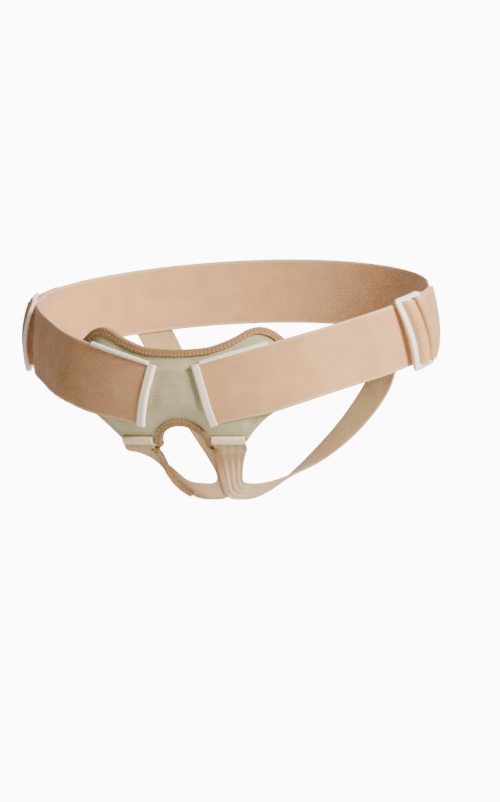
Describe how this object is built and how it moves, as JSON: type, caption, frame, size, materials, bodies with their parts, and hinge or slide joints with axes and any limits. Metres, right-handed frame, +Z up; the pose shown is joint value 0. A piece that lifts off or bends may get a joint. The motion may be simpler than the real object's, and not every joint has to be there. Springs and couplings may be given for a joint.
{
  "type": "hernia belt",
  "caption": "Double-sided hernia belt: padded front plate, tan elastic strips, leg straps, hip slides and a back belt.",
  "frame": {"origin": "middle of the hollow that the belt goes round, level with the sewn inner ends of the two front strips", "axes": "+Z up as worn, -Y to the front, +X to the wearer's left"},
  "size_m": [0.3724, 0.2433, 0.2036],
  "materials": {
    "plate_cloth": "matte",
    "binding_tape": "matte",
    "elastic": "matte",
    "white_tape": "matte",
    "cream_tape": "matte",
    "cream_cloth": "matte",
    "cream_plastic": "satin"
  },
  "bodies": {
    "root": {"front_plate": "plate_cloth", "top_binding": "binding_tape", "notch_binding": "binding_tape", "leg_hem_left": "binding_tape", "leg_hem_right": "binding_tape", "back_belt": "elastic", "front_strip_left": "elastic", "front_strip_right": "elastic", "strip_end_tape_left": "white_tape", "strip_end_tape_right": "white_tape", "strip_top_tape_left": "white_tape", "strip_top_tape_right": "white_tape", "tab_bar_left": "cream_tape", "tab_bar_right": "cream_tape", "leg_strap_left": "cream_cloth", "leg_strap_right": "cream_cloth", "hip_slide_left": "cream_plastic", "hip_slide_right": "cream_plastic"}
  },
  "joints": []
}
